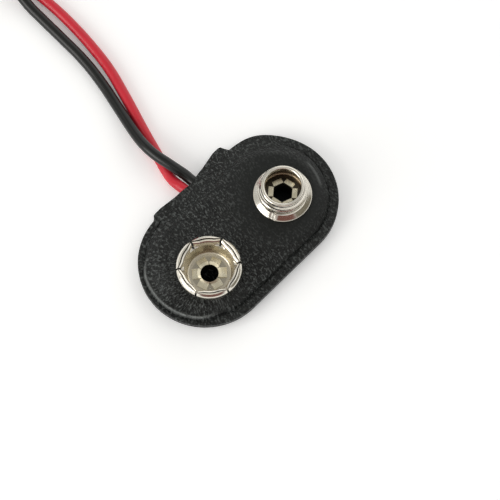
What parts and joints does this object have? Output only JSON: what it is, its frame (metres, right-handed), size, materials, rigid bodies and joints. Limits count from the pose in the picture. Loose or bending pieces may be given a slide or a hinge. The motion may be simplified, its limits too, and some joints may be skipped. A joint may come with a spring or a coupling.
{
  "type": "9v battery snap",
  "caption": "Soft 9 V battery snap: leatherette pad with a hollow stud and a petalled crown terminal riveted to an inner card, and red and black leads with tinned ends.",
  "frame": {"origin": "on the pad's underside, midway between the axes of the two terminals", "axes": "+X from the crown to the stud, +Y towards the side where the leads leave, +Z out of the terminals"},
  "size_m": [0.0373, 0.068, 0.0061],
  "materials": {
    "leatherette": "fine-grained black leatherette",
    "fibre_card": "matte vulcanised fibre",
    "nickel_plate": "bright nickel plate, a little warm",
    "rivet_plate": "thin plate over brass",
    "copper_strands": "bare copper strands",
    "solder": "satin tin solder",
    "red_jacket": "smooth red jacket",
    "black_jacket": "smooth black jacket",
    "tie_band": "matte black band"
  },
  "bodies": {
    "root": {"top_cover": "leatherette", "bottom_cover": "leatherette", "insulator_card": "fibre_card", "stud": "nickel_plate", "crown": "nickel_plate", "stud_rivet": "rivet_plate", "crown_rivet": "rivet_plate", "red_strands": "copper_strands", "black_strands": "copper_strands", "red_solder": "solder", "black_solder": "solder", "red_lead": "red_jacket", "black_lead": "black_jacket", "red_coil": "red_jacket", "black_coil": "black_jacket", "red_tip": "solder", "black_tip": "solder", "coil_tie": "tie_band"}
  },
  "joints": []
}
